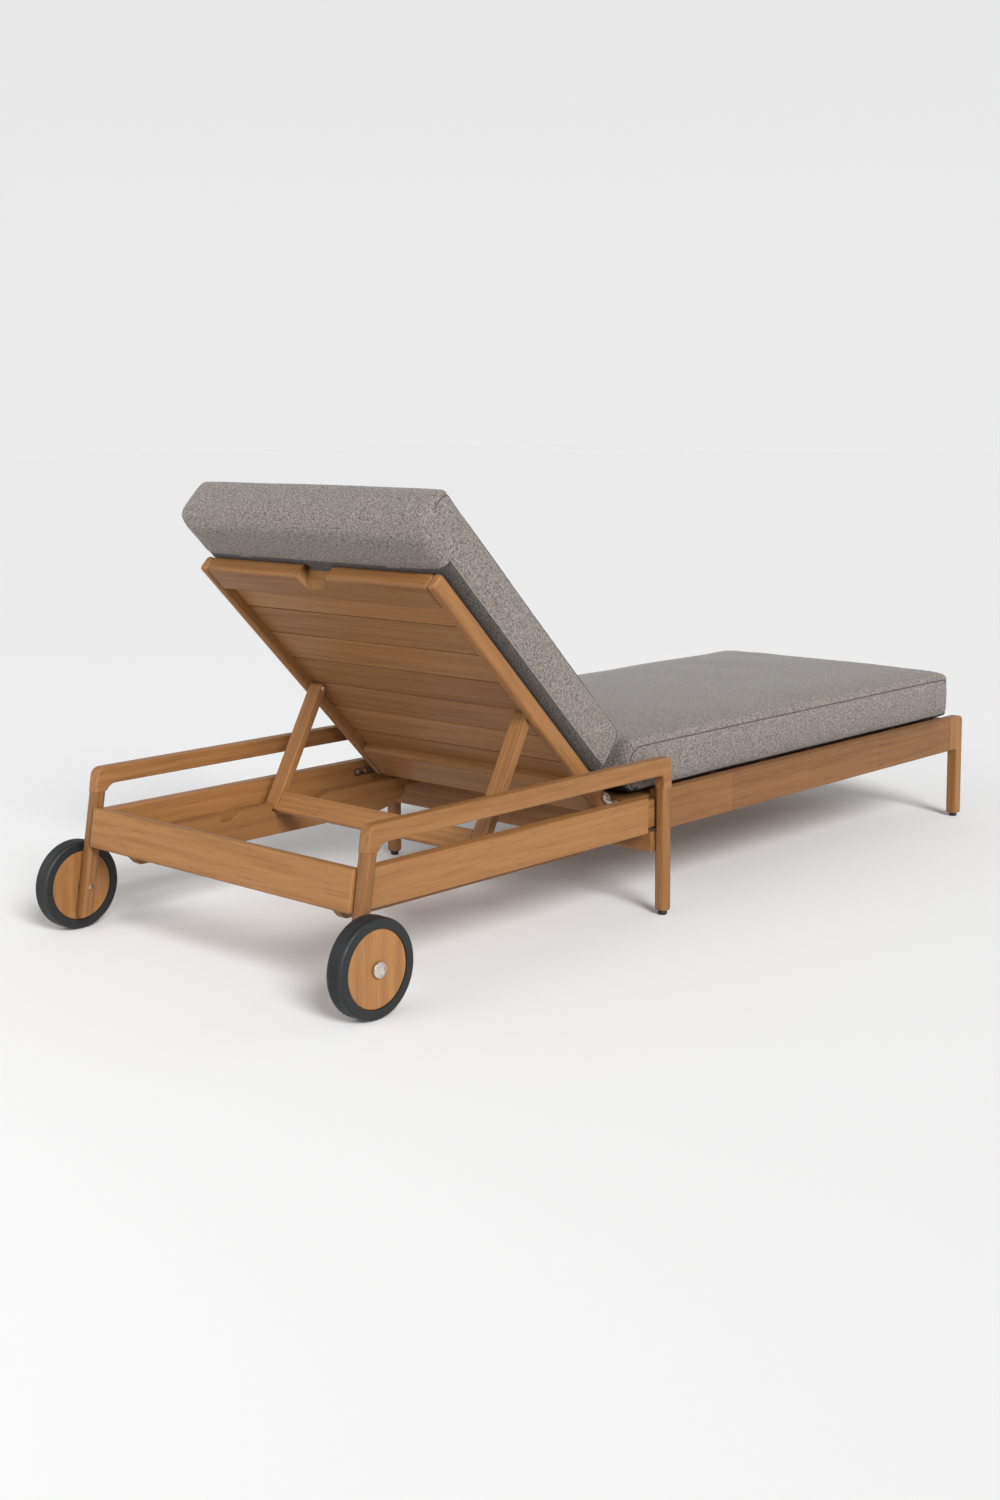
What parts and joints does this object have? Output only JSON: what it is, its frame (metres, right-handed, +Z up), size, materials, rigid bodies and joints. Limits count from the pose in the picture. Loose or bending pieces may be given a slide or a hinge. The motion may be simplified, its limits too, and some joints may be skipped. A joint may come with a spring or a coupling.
{
  "type": "reclining sun lounger",
  "caption": "Low timber sun lounger: cushioned seat, hinged slatted back with a fold-down prop on notched racks, long arms, two rubber-tyred wheels at the head",
  "frame": {"origin": "on the floor, at the centre of the overall box", "axes": "X across the lounger, Y along it from the foot end (-Y) to the wheels (+Y), Z up; the back faces the foot end"},
  "size_m": [0.837, 2.08, 0.8386],
  "materials": {
    "teak": "oiled, fine straight grain",
    "fabric": "woven grey-brown melange",
    "tyre_rubber": "fine grooves round the tyre",
    "glide_rubber": "matte",
    "steel": "satin"
  },
  "bodies": {
    "frame": {"foot_leg_left": "teak", "foot_leg_right": "teak", "foot_side_rail_left": "teak", "foot_side_rail_right": "teak", "foot_end_rail": "teak", "seat_cleat_left": "teak", "seat_cleat_right": "teak", "seat_slat_1": "teak", "seat_slat_2": "teak", "seat_slat_3": "teak", "seat_slat_4": "teak", "seat_slat_5": "teak", "seat_slat_6": "teak", "seat_slat_7": "teak", "mid_cross_rail": "teak", "mid_post_left": "teak", "mid_post_right": "teak", "arm_left": "teak", "arm_right": "teak", "wheel_post_left": "teak", "wheel_post_right": "teak", "head_side_rail_left": "teak", "head_side_rail_right": "teak", "head_end_rail": "teak", "rack_left": "teak", "rack_right": "teak", "glide_foot_left": "glide_rubber", "glide_foot_right": "glide_rubber", "glide_mid_left": "glide_rubber", "glide_mid_right": "glide_rubber", "axle_left": "steel", "axle_right": "steel", "hinge_plate_left": "steel", "hinge_plate_right": "steel", "hinge_pin_left": "steel", "hinge_pin_right": "steel", "seat_cushion": "fabric"},
    "backrest": {"stile_left": "teak", "stile_right": "teak", "top_rail": "teak", "bottom_rail": "teak", "back_slat_1": "teak", "back_slat_2": "teak", "back_slat_3": "teak", "back_slat_4": "teak", "back_slat_5": "teak", "back_slat_6": "teak", "back_slat_7": "teak", "prop_bolt_left": "steel", "prop_bolt_right": "steel", "back_cushion": "fabric"},
    "prop": {"prop_leg_left": "teak", "prop_leg_right": "teak", "prop_bar": "teak"},
    "wheel_left": {"tyre_left": "tyre_rubber", "wheel_disc_left": "teak", "wheel_bush_left": "steel"},
    "wheel_right": {"tyre_right": "tyre_rubber", "wheel_disc_right": "teak", "wheel_bush_right": "steel"}
  },
  "joints": [
    {"name": "backrest_hinge", "type": "hinge", "parent": "frame", "child": "backrest", "pos_m": [0, 0.241, 0.225], "axis": [1, 0, 0], "range_deg": [-45, 11.5]},
    {"name": "prop_swing", "type": "hinge", "parent": "backrest", "child": "prop", "pos_m": [0, 0.44444, 0.41231], "axis": [1, 0, 0], "range_deg": [-28, 107]},
    {"name": "wheel_left_spin", "type": "hinge", "parent": "frame", "child": "wheel_left", "pos_m": [0.396, 0.9562, 0.0838], "axis": [1, 0, 0], "continuous": true},
    {"name": "wheel_right_spin", "type": "hinge", "parent": "frame", "child": "wheel_right", "pos_m": [-0.396, 0.9562, 0.0838], "axis": [1, 0, 0], "continuous": true}
  ],
  "couplings": [
    {"joint": "prop_swing", "follows": "backrest_hinge", "ratio": -2.36}
  ]
}
